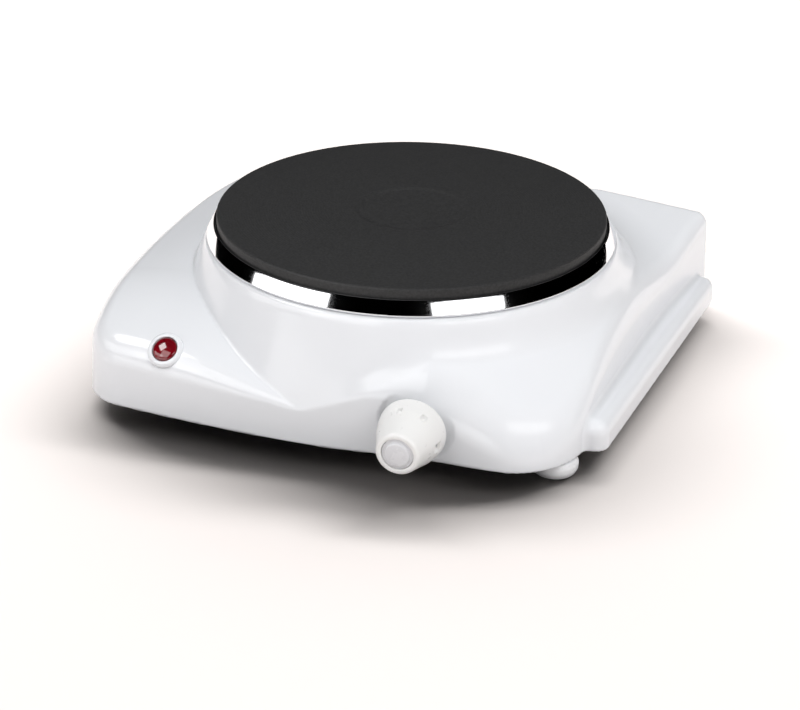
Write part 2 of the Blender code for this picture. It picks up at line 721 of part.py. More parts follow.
def build_feet(plastic, zinc):
    foot = [
        (2.2, 2.6), (4.6, 2.6), (4.6, 0.0), (7.6, 0.0), (9.4, 0.9), (FOOT_RADIUS, 3.2),
        (FOOT_RADIUS, 5.6), (9.4, FLOOR_LEVEL - GAP), (6.0, FLOOR_LEVEL - GAP), (6.0, BASE_LOW - GAP),
        (2.2, BASE_LOW - GAP),
    ]
    screw = [(0, 0.9), (2.6, 0.9), (3.6, 1.5), (3.6, 2.3), (1.5, 2.3), (1.5, 22.0), (0, 22.8)]
    for name, (x, y) in FEET.items():
        turned(f"foot_{name}", foot, plastic, 24, pose(x, y))
        turned(f"foot_screw_{name}", screw, zinc, 12, pose(x, y))


def build_wires(live, neutral, earth, lamp):
    radius = 1.1
    wire("wire_live", [(-59, 53, 20), (-58, 44, 19), (-44, 8, 16), (-18, -40, 15), (2, -72, 18),
                       (6.0, -80.2, 24)], radius, live)
    wire("wire_neutral", [(-45, 53, 20), (-43, 46, 20), (-30, 34, 26), (-16, 22, 32)], radius, neutral)
    wire("wire_switched", [(55.6, -81.0, 26), (60, -74, 28), (60, -52, 36), (54, -28, 44), (52, -8, 47.2)],
         radius, live)
    wire("wire_earth", [(-31, 53, 20), (-28, 46, 18), (-8, 44, 15), (24, 50, 13.5), (52, 58, 14)],
         radius, earth)
    wire("wire_lamp", [(-54, -94.5, 15.5), (-46, -92, 15), (-22, -84, 15), (-4, -80, 18)], 0.9, lamp)


def move_to_frame():
    """Hang everything from an empty that carries it from the plate's axis to the frame."""
    frame = bpy.data.objects.new("frame", None)
    frame.location = Vector(FRAME_SHIFT) * MM
    for thing in list(bpy.data.objects):
        if thing is not frame and thing.parent is None:
            thing.parent = frame
    bpy.context.collection.objects.link(frame)


def clear_scene():
    for thing in list(bpy.data.objects):
        bpy.data.objects.remove(thing, do_unlink=True)


def build():
    white = material("white_plastic", (0.86, 0.88, 0.90), 0.18)
    warm_white = material("warm_white_plastic", (0.84, 0.83, 0.80), 0.32)
    iron = material("black_cast_iron", (0.035, 0.035, 0.036), 0.62)
    chrome = material("chrome", (0.85, 0.85, 0.87), 0.06, 1.0)
    steel = material("sheet_steel", (0.60, 0.61, 0.62), 0.38, 1.0)
    zinc = material("zinc_plate", (0.70, 0.70, 0.66), 0.30, 1.0)
    brass = material("brass", (0.78, 0.60, 0.30), 0.28, 1.0)
    ceramic = material("ceramic", (0.88, 0.85, 0.78), 0.45)
    red = material("red_lens", (0.45, 0.02, 0.03), 0.12)
    black_plastic = material("black_plastic", (0.03, 0.03, 0.03), 0.45)
    build_housing(white)
    build_plate(iron)
    build_trim_ring(chrome)
    build_heater(material("resistance_wire", (0.45, 0.43, 0.42), 0.4, 1.0),
                 material("magnesia_compound", (0.72, 0.70, 0.66), 0.85), steel)
    build_supports(steel, zinc)
    build_knob(warm_white, material("cap_plastic", (0.80, 0.80, 0.82), 0.25), steel)
    build_thermostat(steel, zinc, brass, ceramic, material("bimetal", (0.55, 0.53, 0.50), 0.35, 1.0),
                     material("silver_contact", (0.85, 0.84, 0.82), 0.2, 1.0))
    build_lamp(red, black_plastic, material("bulb_glass", (0.8, 0.8, 0.8), 0.05),
               material("resistor_body", (0.75, 0.66, 0.48), 0.5), steel)
    build_terminals(ceramic, brass, material("fuse_body", (0.75, 0.76, 0.78), 0.3, 1.0), zinc)
    build_inlet(black_plastic, zinc)
    build_base(steel)
    build_feet(white, zinc)
    build_wires(material("brown_insulation", (0.22, 0.09, 0.04), 0.5),
                material("blue_insulation", (0.05, 0.16, 0.45), 0.5),
                material("green_insulation", (0.16, 0.42, 0.10), 0.5),
                material("white_insulation", (0.80, 0.80, 0.78), 0.5))
    move_to_frame()


clear_scene()
GUIDE = material("guide", (0.5, 0.5, 0.5), 0.5)
build()
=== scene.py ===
"""Looks of a single electric hot plate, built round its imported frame.

Shapes are worked out in millimetres from the plate's axis, with +X right, +Y back and +Z up, and
are put into the frame, in metres, when a mesh is made.
"""

import json
import math

import bpy
import numpy as np
from mathutils import Matrix, Quaternion, Vector


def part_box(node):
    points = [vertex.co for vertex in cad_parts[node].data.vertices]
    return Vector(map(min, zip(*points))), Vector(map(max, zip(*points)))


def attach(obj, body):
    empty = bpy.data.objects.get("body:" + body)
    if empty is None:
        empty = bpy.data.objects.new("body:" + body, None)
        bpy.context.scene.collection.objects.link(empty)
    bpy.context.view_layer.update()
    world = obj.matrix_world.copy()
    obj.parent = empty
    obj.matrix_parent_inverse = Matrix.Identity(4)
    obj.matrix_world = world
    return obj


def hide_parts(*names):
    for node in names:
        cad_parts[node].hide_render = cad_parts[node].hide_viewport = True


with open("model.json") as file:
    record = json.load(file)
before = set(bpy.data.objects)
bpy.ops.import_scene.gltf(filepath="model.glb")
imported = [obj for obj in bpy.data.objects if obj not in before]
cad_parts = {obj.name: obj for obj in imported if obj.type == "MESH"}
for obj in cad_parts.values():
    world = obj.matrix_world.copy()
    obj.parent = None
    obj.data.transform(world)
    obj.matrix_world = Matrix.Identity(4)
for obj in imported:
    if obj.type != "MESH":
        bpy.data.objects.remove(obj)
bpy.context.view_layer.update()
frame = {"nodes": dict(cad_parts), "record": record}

MM = 0.001
PLATE_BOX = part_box("cast_iron_plate")
AXIS = Vector(((PLATE_BOX[0].x + PLATE_BOX[1].x) / 2, (PLATE_BOX[0].y + PLATE_BOX[1].y) / 2, 0.0))

# Housing
FLOOR_LEVEL = 8.0
COLLAR_TOP = 66.5
COLLAR_BORE = 86.0
CONE_RADIUS = 97.6
CONE_HEIGHT = 67.0
CONE_SLOPE = 2.5
WALL = 3.4
LEFT_HEIGHT = 51.0
LEFT_CREST = -47.0
RIGHT_HEIGHT = 58.5
RIGHT_SLOPE = 0.84
RIGHT_START = 95.0
REAR_HEIGHT = 59.5
REAR_SLOPE = 0.2
FRONT_WALL = 114.5
RIGHT_WALL = 112.3
LEFT_WALL = 134.2
BACK_WALL = 110.5
FRONT_RIGHT_CORNER = 28.0
LEFT_CORNER = 16.0
REAR_LEFT_CORNER = 34.0
REAR_CORNER = 6.0
POST_RADIUS = 4.5
SPINDLE_HOLE = 4.8
GLAND_HOLE = 6.3
KNOB_X = 37.8
KNOB_Z = 25.2
KNOB_END = -137.0
POCKET_RADIUS = 16.4
POCKET_DRAFT = 0.25
POCKET_BACK = -108.5
POCKET_WALL = 3.4
LAMP_SPOT = (-82.0, -104.0)
LENS_RADIUS = 5.9
BEZEL_BORE = 6.9
GAP = 0.3
# Radius between deck and wall, by the angle round the plate from the front
EDGE_ROUNDING = (
    (-180, 6.0), (-120, 8.0), (-60, 9.0), (-35, 9.0), (-14, 3.0), (8, 3.0), (28, 12.0), (42, 13.0),
    (58, 5.0), (85, 7.0), (110, 8.0), (140, 6.0), (180, 6.0),
)
# Rail along the foot of the right side
RAIL_SLANT = 0.120
RAIL_INNER = 105.0
RAIL_OUTER = 123.9
RAIL_FRONT = -79.0
RAIL_BACK = 97.0
RAIL_TOP = 22.0
RAIL_ROUNDING = 6.0
# Feet, gland and plate
BASE_HIGH = 10.2
FEET = {
    "front_left": (-104.0, -86.0),
    "front_right": (94.0, -86.0),
    "rear_left": (-104.0, 90.0),
    "rear_right": (106.0, 90.0),
}
GLAND_SPOT = (-62.0, 24.0)
GLAND_FACE = 110.2
PLATE_TOP = 78.0
PLATE_RADIUS = 92.5

# Knob: its outline in radius and depth behind its end, with the radius of each corner
CAP_RADIUS = 6.9
KNOB_OUTLINE = (
    (0.0, 4.0), (7.05, 4.0), (7.05, 0.0), (8.8, 0.0), (9.7, 1.0), (10.2, 3.0), (11.8, 8.0),
    (13.8, 14.0), (14.7, 18.5), (15.0, 21.0), (14.8, 22.4), (14.0, 22.4), (12.6, 16.0),
    (8.5, 15.0), (8.5, 27.2), (3.2, 27.2), (3.2, 12.0), (0.0, 12.0),
)
KNOB_RADII = (0, 0.3, 0.5, 0.5, 1.2, 3, 6, 6, 3, 0.4, 0.3, 0.3, 0.5, 0.3, 0.3, 0.3, 0, 0)
# Dents in its side: distance of their floor from the axis, of their middle from the knob's end, and
# the angle, radius and half length of each
DENT_FLOOR = 12.2
DENT_PLACE = 14.0
DENTS = (
    (105.0, 1.2, 1.5), (58.0, 1.2, 1.5), (-7.0, 2.6, 2.0), (-67.0, 1.2, 1.5), (-127.0, 1.2, 1.5),
    (165.0, 1.2, 1.5),
)

# Grid cells of the housing's and the knob's mesh, and the steps of a rounded corner
CELL = 1.2
KNOB_CELL = 0.5
ARC_STEPS = 5

# The stretch of a noise texture's value that its effects are spread over
NOISE_LOW = 0.3
NOISE_HIGH = 0.7

# Camera, which looks from the front and a little from the right
HEADING = math.radians(17.6)
CAMERA_SPOT = (-4.6258, -751.689, 382.589)
PITCH = math.radians(27.011)
ROLL = math.radians(0.764)
SENSOR = 36.0
FOCAL = 76.5

# Height that the lights face
LIGHT_AIM = 40.0


# ---------------------------------------------------------------- placing


def from_heading(x, y, z):
    """A vector given along the camera's heading, turned into the frame."""
    return Vector((
        x * math.cos(HEADING) - y * math.sin(HEADING),
        x * math.sin(HEADING) + y * math.cos(HEADING),
        z,
    ))


def make_camera():
    forward = Vector((0.0, math.cos(PITCH), -math.sin(PITCH)))
    level = Vector((1.0, 0.0, 0.0))
    upright = level.cross(forward)
    right = from_heading(*(math.cos(ROLL) * level + math.sin(ROLL) * upright))
    up = from_heading(*(math.cos(ROLL) * upright - math.sin(ROLL) * level))
    back = -from_heading(*forward)
    spot = from_heading(*CAMERA_SPOT) * MM + AXIS
    lens = bpy.data.cameras.new("camera")
    lens.lens = FOCAL
    lens.sensor_width = SENSOR
    lens.clip_start = 0.01
    camera = bpy.data.objects.new("camera", lens)
    camera.matrix_world = Matrix((
        (right.x, up.x, back.x, spot.x),
        (right.y, up.y, back.y, spot.y),
        (right.z, up.z, back.z, spot.z),
        (0.0, 0.0, 0.0, 1.0),
    ))
    bpy.context.collection.objects.link(camera)
    bpy.context.scene.camera = camera


def softbox(name, azimuth, elevation, distance, width, height, glow, seen_in="diffuse", slant=0.0):
    """An area light of a brightness, at an azimuth from the camera's side, facing the object."""
    azimuth, elevation = math.radians(azimuth), math.radians(elevation)
    spot = from_heading(
        distance * math.cos(elevation) * math.sin(azimuth),
        -distance * math.cos(elevation) * math.cos(azimuth),
        distance * math.sin(elevation),
    )
    target = Vector((0.0, 0.0, LIGHT_AIM)) * MM + AXIS
    light = bpy.data.lights.new(name, "AREA")
    light.shape = "RECTANGLE"
    light.size = width
    light.size_y = height
    light.energy = glow * math.pi * width * height
    lamp = bpy.data.objects.new(name, light)
    lamp.location = spot + AXIS
    facing = (target - lamp.location).to_track_quat("-Z", "Y")
    lamp.rotation_euler = (facing @ Quaternion((0.0, 0.0, 1.0), math.radians(slant))).to_euler()
    lamp.visible_camera = False
    lamp.visible_diffuse = seen_in in ("diffuse", "both")
    lamp.visible_glossy = seen_in in ("glossy", "both")
    bpy.context.collection.objects.link(lamp)
    return lamp


def choose_lit(name, lights, state, *pieces):
    """Let lights reach only these pieces (INCLUDE), or everything but them (EXCLUDE)."""
    group = bpy.data.collections.new(name)
    for piece in pieces:
        group.objects.link(piece)
    for entry in group.collection_objects:
        entry.light_linking.link_state = state
    for lamp in lights:
        lamp.light_linking.receiver_collection = group


def make_world():
    scene = bpy.context.scene
    scene.view_settings.view_transform = "Standard"
    world = bpy.data.worlds.new("studio")
    scene.world = world
    world.use_nodes = True
    background = world.node_tree.nodes["Background"]
    background.inputs["Color"].default_value = (1.0, 1.0, 1.0, 1.0)
    background.inputs["Strength"].default_value = 0.05
    world.cycles_visibility.glossy = False


def make_floor():
    bpy.ops.mesh.primitive_plane_add(size=12.0, location=(0.0, 0.0, 0.0))
    floor = bpy.context.object
    floor.name = "floor"
    floor.data.materials.append(floor_finish())
    return floor


def make_studio():
    """Lights of their own for the floor, the object, and the object without its chrome ring."""
    make_world()
    floor_lights = [
        softbox("floor_key", 173, 50, 9.0, 16.0, 1.4, 54.0),
        softbox("floor_sky", 180, 38, 9.0, 16.0, 8.0, 7.7),
        softbox("floor_right", 108, 40, 9.0, 6.0, 6.0, 2.0),
        softbox("floor_left", -112, 40, 9.0, 6.0, 6.0, 0.8),
    ]
    object_lights = [
        softbox("overhead", 0, 80, 1.5, 1.4, 1.4, 1.85),
        softbox("left_fill", -50, 54, 1.3, 1.2, 1.0, 1.25),
        softbox("right_fill", 66, 34, 1.3, 1.2, 1.0, 1.5),
        softbox("rear_fill", 180, 30, 1.5, 1.4, 1.0, 0.95),
        softbox("low_fill", 0, 10, 2.2, 3.0, 0.7, 0.65),
        softbox("left_card", -40, 7, 1.5, 1.6, 0.35, 2.0, "glossy"),
        softbox("left_strip", -69, 24.0, 1.2, 0.96, 0.30, 2.1, "both", 20.0),
        softbox("right_strip", 32, 32.5, 1.2, 0.74, 0.24, 2.1, "both", -9.0),
    ]
    plastic_lights = [
        softbox("front_card", -36, 38, 1.4, 0.9, 0.75, 2.2, "glossy"),
        softbox("left_glint", -78, 51, 1.0, 0.34, 0.30, 7.0, "glossy"),
    ]
    floor = make_floor()
    ring = bpy.data.objects["chrome_ring"]
    choose_lit("floor_alone", floor_lights, "INCLUDE", floor)
    choose_lit("all_but_floor", object_lights, "EXCLUDE", floor)
    choose_lit("all_but_floor_and_ring", plastic_lights, "EXCLUDE", floor, ring)


# ---------------------------------------------------------------- materials


class Finish:
    """A material being made: its Principled shader, and the nodes that feed it."""

    def __init__(self, name, colour, roughness, metallic=0.0):
        self.material = bpy.data.materials.new(name)
        self.material.use_nodes = True
        self.tree = self.material.node_tree
        self.shader = self.tree.nodes["Principled BSDF"]
        self.colour = (*colour, 1.0)
        self.roughness = roughness
        self.material.diffuse_color = self.colour
        self.put("Base Color", self.colour)
        self.put("Roughness", roughness)
        self.put("Metallic", metallic)
        self.place = self.add("ShaderNodeTexCoord").outputs["Object"]
        self.relief = None

    def add(self, kind, **settings):
        node = self.tree.nodes.new(kind)
        for key, value in settings.items():
            setattr(node, key, value)
        return node

    def put(self, socket, value):
        self.shader.inputs[socket].default_value = value

    def join(self, source, target):
        self.tree.links.new(source, target)

    def noise(self, scale, detail=2.0, stretch=None):
        """A noise texture with a scale in features per metre, stretched along an axis if asked."""
        texture = self.add("ShaderNodeTexNoise")
        texture.inputs["Scale"].default_value = scale
        texture.inputs["Detail"].default_value = detail
        place = self.place
        if stretch is not None:
            mapping = self.add("ShaderNodeMapping")
            mapping.inputs["Scale"].default_value = stretch
            self.join(place, mapping.inputs["Vector"])
            place = mapping.outputs["Vector"]
        self.join(place, texture.inputs["Vector"])
        return texture.outputs["Fac"]

    def spread(self, source, low, high):
        """A noise texture's value, spread from low to high."""
        span = self.add("ShaderNodeMapRange")
        span.inputs["From Min"].default_value = NOISE_LOW
        span.inputs["From Max"].default_value = NOISE_HIGH
        span.inputs["To Min"].default_value = low
        span.inputs["To Max"].default_value = high
        self.join(source, span.inputs["Value"])
        return span.outputs["Result"]

    def vary_roughness(self, source, amount):
        low, high = max(self.roughness - amount, 0.0), self.roughness + amount
        self.join(self.spread(source, low, high), self.shader.inputs["Roughness"])

    def vary_colour(self, source, darker, lighter):
        """The base colour times a factor that follows a texture."""
        ramp = self.add("ShaderNodeValToRGB")
        stops = zip(ramp.color_ramp.elements, (NOISE_LOW, NOISE_HIGH), (darker, lighter))
        for stop, place, factor in stops:
            stop.position = place
            stop.color = (*(min(channel * factor, 1.0) for channel in self.colour[:3]), 1.0)
        self.join(source, ramp.inputs["Fac"])
        self.join(ramp.outputs["Color"], self.shader.inputs["Base Color"])

    def bump(self, source, depth):
        """Relief of a depth in millimetres; a later bump adds to an earlier one."""
        relief = self.add("ShaderNodeBump")
        relief.inputs["Distance"].default_value = depth * MM
        relief.inputs["Strength"].default_value = 1.0
        self.join(source, relief.inputs["Height"])
        if self.relief is not None:
            self.join(self.relief, relief.inputs["Normal"])
        self.relief = relief.outputs["Normal"]
        self.join(self.relief, self.shader.inputs["Normal"])


def floor_finish():
    finish = Finish("floor_paper", (0.268, 0.252, 0.245), 0.95)
    finish.vary_colour(finish.noise(6.0), 0.995, 1.0)
    finish.put("Specular IOR Level", 0.05)
    return finish.material


def gloss_plastic(name, colour, roughness, peel=0.004):
    """Moulded plastic: a faint unevenness in its gloss and its surface."""
    finish = Finish(name, colour, roughness)
    finish.vary_colour(finish.noise(14.0), 0.985, 1.0)
    finish.vary_roughness(finish.noise(220.0, 3.0), 0.03)
    finish.bump(finish.noise(160.0, 1.0), peel)
    return finish


def white_plastic():
    finish = gloss_plastic("white_plastic", (0.85, 0.865, 0.895), 0.16)
    finish.put("Coat Weight", 0.15)
    finish.put("Coat Roughness", 0.05)
    return finish.material


def cast_iron():
    """Blackened cast iron with a fine grain and the faint rings left by turning."""
    finish = Finish("black_cast_iron", (0.030, 0.030, 0.0305), 0.58)
    finish.put("Specular IOR Level", 0.3)
    finish.vary_colour(finish.noise(900.0, 4.0), 0.8, 1.25)
    finish.vary_roughness(finish.noise(60.0, 3.0), 0.02)
    centre = finish.add("ShaderNodeMapping")
    centre.inputs["Location"].default_value = tuple(-AXIS)
    finish.join(finish.place, centre.inputs["Vector"])
    rings = finish.add("ShaderNodeTexWave", wave_type="RINGS", rings_direction="Z")
    rings.inputs["Scale"].default_value = 260.0
    rings.inputs["Distortion"].default_value = 0.4
    finish.join(centre.outputs["Vector"], rings.inputs["Vector"])
    finish.bump(rings.outputs["Fac"], 0.010)
    finish.bump(finish.noise(1400.0, 3.0), 0.030)
    return finish.material


def bright_metal(name, colour, roughness, stretch=None):
    """Plated or drawn metal, with fine marks along one way where a stretch is given."""
    finish = Finish(name, colour, roughness, 1.0)
    marks = finish.noise(500.0, 3.0, stretch)
    finish.vary_roughness(marks, min(0.06, roughness * 0.5))
    finish.vary_colour(finish.noise(40.0), 0.95, 1.02)
    finish.bump(marks, 0.002)
    return finish.material


def chrome():
    finish = Finish("chrome", (0.88, 0.885, 0.90), 0.065, 1.0)
    finish.vary_roughness(finish.noise(90.0, 4.0), 0.015)
    return finish.material


def matt_solid(name, colour, roughness, grain, depth):
    """Ceramic, compound or insulation: a grain in colour and surface."""
    finish = Finish(name, colour, roughness)
    finish.vary_colour(finish.noise(grain / 4), 0.92, 1.03)
    finish.vary_roughness(finish.noise(grain, 3.0), 0.06)
    finish.bump(finish.noise(grain, 3.0), depth)
    return finish.material


def red_lens():
    """Red moulded lens: clear and glossy, with a little unevenness in its colour."""
    finish = Finish("red_lens", (0.25, 0.003, 0.010), 0.08)
    finish.vary_colour(finish.noise(300.0, 2.0), 0.7, 1.15)
    finish.put("Coat Weight", 1.0)
    finish.put("Coat Roughness", 0.03)
    finish.put("Transmission Weight", 0.25)
    finish.put("IOR", 1.5)
    return finish.material


def bulb_glass():
    finish = Finish("bulb_glass", (0.9, 0.88, 0.85), 0.03)
    finish.vary_roughness(finish.noise(200.0), 0.02)
    finish.put("Transmission Weight", 0.9)
    return finish.material


def make_finishes():
    """One material for each slot of the record."""
    return {
        "white_plastic": white_plastic(),
        "black_cast_iron": cast_iron(),
        "chrome": chrome(),
        "knob_plastic": gloss_plastic("knob_plastic", (0.88, 0.878, 0.87), 0.30, 0.008).material,
        "cap_plastic": gloss_plastic("cap_plastic", (0.74, 0.74, 0.765), 0.26, 0.006).material,
        "foot_plastic": gloss_plastic("foot_plastic", (0.84, 0.845, 0.86), 0.28, 0.006).material,
        "red_lens": red_lens(),
        "black_plastic": gloss_plastic("black_plastic", (0.03, 0.03, 0.032), 0.42, 0.02).material,
        "sheet_steel": bright_metal("sheet_steel", (0.60, 0.61, 0.62), 0.36, (1.0, 14.0, 1.0)),
        "zinc_plate": bright_metal("zinc_plate", (0.70, 0.70, 0.64), 0.30),
        "resistance_wire": bright_metal("resistance_wire", (0.42, 0.40, 0.39), 0.45),
        "magnesia_compound": matt_solid("magnesia_compound", (0.70, 0.68, 0.63), 0.85, 800.0, 0.08),
        "ceramic": matt_solid("ceramic", (0.86, 0.83, 0.76), 0.42, 900.0, 0.01),
        "brass": bright_metal("brass", (0.80, 0.62, 0.30), 0.26, (1.0, 1.0, 9.0)),
        "bimetal": bright_metal("bimetal", (0.55, 0.52, 0.48), 0.34, (9.0, 1.0, 1.0)),
        "silver_contact": bright_metal("silver_contact", (0.88, 0.87, 0.84), 0.16),
        "bulb_glass": bulb_glass(),
        "resistor_body": matt_solid("resistor_body", (0.72, 0.62, 0.42), 0.5, 600.0, 0.01),
        "fuse_body": bright_metal("fuse_body", (0.76, 0.77, 0.79), 0.28),
        "brown_insulation": matt_solid("brown_insulation", (0.20, 0.08, 0.04), 0.48, 500.0, 0.01),
        "blue_insulation": matt_solid("blue_insulation", (0.04, 0.14, 0.45), 0.48, 500.0, 0.01),
        "green_insulation": matt_solid("green_insulation", (0.16, 0.42, 0.10), 0.48, 500.0, 0.01),
        "white_insulation": matt_solid("white_insulation", (0.80, 0.80, 0.77), 0.48, 500.0, 0.01),
    }


# ---------------------------------------------------------------- mesh helpers


def make_piece(name, points, faces, material, node, body):
    """A piece from points in millimetres, which rides on a body and stands for a CAD node."""
    mesh = bpy.data.meshes.new(name)
    placed = np.asarray(points, float) * MM + np.array(AXIS)
    mesh.from_pydata(placed, [], faces)
    mesh.materials.append(material)
    mesh.shade_smooth()
    piece = bpy.data.objects.new(name, mesh)
    bpy.context.collection.objects.link(piece)
    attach(piece, body)
    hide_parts(node)
    return piece


def rounded(profile, radii):
    """A closed profile with its corners rounded to the given radii."""
    points = []
    count = len(profile)
    for index, (corner, radius) in enumerate(zip(profile, radii)):
        corner = np.array(corner, float)
        if radius <= 0:
            points.append(tuple(corner))
            continue
        before = np.array(profile[index - 1], float) - corner
        after = np.array(profile[(index + 1) % count], float) - corner
        before, after = before / np.hypot(*before), after / np.hypot(*after)
        half = math.acos(np.clip(before @ after, -1.0, 1.0)) / 2
        reach = radius / math.tan(half)
        middle = (before + after) / np.hypot(*(before + after)) * radius / math.sin(half)
        first, last = before * reach - middle, after * reach - middle
        start = math.atan2(first[1], first[0])
        sweep = (math.atan2(last[1], last[0]) - start + math.pi) % (2 * math.pi) - math.pi
        for step in range(ARC_STEPS + 1):
            angle = start + sweep * step / ARC_STEPS
            spot = corner + middle + radius * np.array((math.cos(angle), math.sin(angle)))
            points.append(tuple(spot))
    return points


def anticlockwise(outline):
    """The outline in the order that makes its turned faces look outwards."""
    twice_area = 0.0
    for (radius, height), (next_radius, next_height) in zip(outline, [*outline[1:], outline[0]]):
        twice_area += radius * next_height - next_radius * height
    return outline if twice_area > 0 else outline[::-1]


def turned(name, profile, material, node, place=None, steps=96, body="base"):
    """A closed profile of (radius, height) turned about Z, then placed."""
    points = []
    loops = []
    angles = 2 * np.pi * np.arange(steps) / steps
    for radius, height in anticlockwise(profile):
        if radius <= 0:
            loops.append([len(points)] * steps)
            points.append((0.0, 0.0, height))
            continue
        loops.append(list(range(len(points), len(points) + steps)))
        points += [(radius * math.cos(angle), radius * math.sin(angle), height) for angle in angles]
    faces = []
    for index, loop in enumerate(loops):
        after = loops[(index + 1) % len(loops)]
        for step in range(steps):
            beyond = (step + 1) % steps
            face = list(dict.fromkeys((loop[step], loop[beyond], after[beyond], after[step])))
            if len(face) > 2:
                faces.append(face)
    points = np.array(points)
    if place is not None:
        turn, move = place
        points = points @ np.array(turn).T + np.array(move)
    return make_piece(name, points, faces, material, node, body)


ALONG_BACK = Matrix.Rotation(math.radians(-90), 3, "X")
UPRIGHT = Matrix.Identity(3)
KNOB_ROUNDED = rounded(KNOB_OUTLINE, KNOB_RADII)


# ---------------------------------------------------------------- the housing's form


def soft_max(a, b, blend):
    """The larger of two values, with a smooth change over where they meet."""
    share = np.clip(0.5 + 0.5 * (a - b) / blend, 0.0, 1.0)
    return b + (a - b) * share + blend * share * (1.0 - share)


def soft_min(a, b, blend):
    return -soft_max(-a, -b, blend)


def round_corner(a, b, radius):
    """Where both distances are inside, their corner rounded to a radius."""
    rounding = np.hypot(np.maximum(a + radius, 0.0), np.maximum(b + radius, 0.0))
    return np.minimum(np.maximum(a, b), -radius) + rounding


def round_join(a, b, radius):
    """Where either distance is inside, with a fillet of a radius between the two."""
    return -round_corner(-a, -b, radius)


def cone_height(radius):
    cone = CONE_HEIGHT - CONE_SLOPE * (radius - CONE_RADIUS)
    return soft_min(COLLAR_TOP + 1.2, cone, 6.0)


def left_lobe_height(x, y):
    front_fall = 0.0036 * np.minimum(y - LEFT_CREST, 0.0) ** 2
    back_rise = 0.03 * np.maximum(y - LEFT_CREST, 0.0)
    right_fall = 0.17 * soft_max(x + 70.0, np.zeros_like(x), 12.0)
    back_fall = 0.0015 * np.maximum(y - 40.0, 0.0) ** 2
    crown = 0.003 * np.maximum(-x - 95.0, 0.0) ** 2
    return LEFT_HEIGHT - front_fall + back_rise - back_fall - right_fall - crown


def right_lobe_height(x, y, radius):
    ramp = RIGHT_HEIGHT - RIGHT_SLOPE * (radius - RIGHT_START)
    reach = np.maximum(40.0 - x, 0.0)
    return ramp - 0.26 * reach - 0.0009 * reach**2


def rear_deck_height(x, y):
    side_fall = 0.10 * np.maximum(x - 71.0, 0.0) + 0.30 * np.maximum(-79.0 - x, 0.0)
    front_fall = REAR_SLOPE * (110.0 - y)
    return REAR_HEIGHT - side_fall - front_fall


def deck_height(x, y):
    radius = np.hypot(x, y)
    right_side = soft_max(right_lobe_height(x, y, radius), rear_deck_height(x, y), 24.0)
    lobes = soft_max(left_lobe_height(x, y), right_side, 3.0)
    backward = np.clip((y + 20.0) / 60.0, 0.0, 1.0)
    rightward = np.clip((x + 20.0) / 60.0, 0.0, 1.0)
    blend = 1.6 + 10.0 * backward + 4.0 * rightward
    return soft_max(cone_height(radius), lobes, blend)


def deck_distance(x, y, z):
    """Distance above the deck, corrected for its slope."""
    step = 0.5
    height = deck_height(x, y)
    slope_x = (deck_height(x + step, y) - height) / step
    slope_y = (deck_height(x, y + step) - height) / step
    return (z - height) / np.sqrt(1.0 + slope_x**2 + slope_y**2)


def body_distance(x, y, z):
    """Signed distance to the housing's outer surface, without the knob pocket."""
    knob_hollow = 3.0 * np.exp(-(((x - 36.0) / 29.0) ** 2))
    front = -y - FRONT_WALL + 0.0006 * (x + 10.0) ** 2 + 0.07 * (z - FLOOR_LEVEL) + knob_hollow
    right = x - RIGHT_WALL - 0.095 * y - 0.00055 * np.maximum(y, 0.0) ** 2 + 0.04 * (z - 22.0)
    left = -x - LEFT_WALL + 0.0013 * (y + 5.0) ** 2 + 0.06 * (z - 42.0)
    back = y - BACK_WALL + 0.05 * (z - FLOOR_LEVEL)
    wall = round_corner(front, right, FRONT_RIGHT_CORNER)
    wall = round_corner(wall, left, LEFT_CORNER)
    wall = round_corner(wall, back, REAR_CORNER)
    wall = np.maximum(wall, round_corner(left, back, REAR_LEFT_CORNER))
    rounding = np.interp(np.degrees(np.arctan2(x, -y)), *zip(*EDGE_ROUNDING))
    return round_corner(deck_distance(x, y, z), wall, rounding)


def rail_distance(x, y, z):
    """The raised rail along the foot of the right side, with rounded ends and top."""
    across = np.abs(x - (RAIL_INNER + RAIL_OUTER) / 2 - RAIL_SLANT * y)
    along = np.abs(y - (RAIL_FRONT + RAIL_BACK) / 2)
    out = np.stack([
        across - (RAIL_OUTER - RAIL_INNER) / 2,
        along - (RAIL_BACK - RAIL_FRONT) / 2,
        z - RAIL_TOP,
    ]) + RAIL_ROUNDING
    outside = np.sqrt((np.maximum(out, 0.0) ** 2).sum(0))
    return outside + np.minimum(out.max(0), 0.0) - RAIL_ROUNDING


def pocket_distance(x, y, z, outset):
    """The knob's pocket, which widens towards the front."""
    radius = np.hypot(x - KNOB_X, z - KNOB_Z)
    side = radius - POCKET_RADIUS - outset - POCKET_DRAFT * (POCKET_BACK - y)
    return round_corner(side / math.hypot(1.0, POCKET_DRAFT), y - POCKET_BACK - outset, 1.5)


def body_distance_at(x, y, z):
    """The body's distance at one point, as a plain number."""
    return float(body_distance(np.array([x]), np.array([y]), np.array([z]))[0])


def lamp_place():
    """The lamp's axis, square to the housing's surface where the lamp sits."""
    x, y = LAMP_SPOT
    low, high = 20.0, 60.0
    for _ in range(40):
        middle = (low + high) / 2
        low, high = (middle, high) if body_distance_at(x, y, middle) < 0 else (low, middle)
    step = 0.5
    normal = Vector((
        body_distance_at(x + step, y, low) - body_distance_at(x - step, y, low),
        body_distance_at(x, y + step, low) - body_distance_at(x, y - step, low),
        body_distance_at(x, y, low + step) - body_distance_at(x, y, low - step),
    )).normalized()
    return normal.to_track_quat("Z", "Y").to_matrix(), Vector((x, y, low))


LAMP_TURN, LAMP_MOVE = lamp_place()


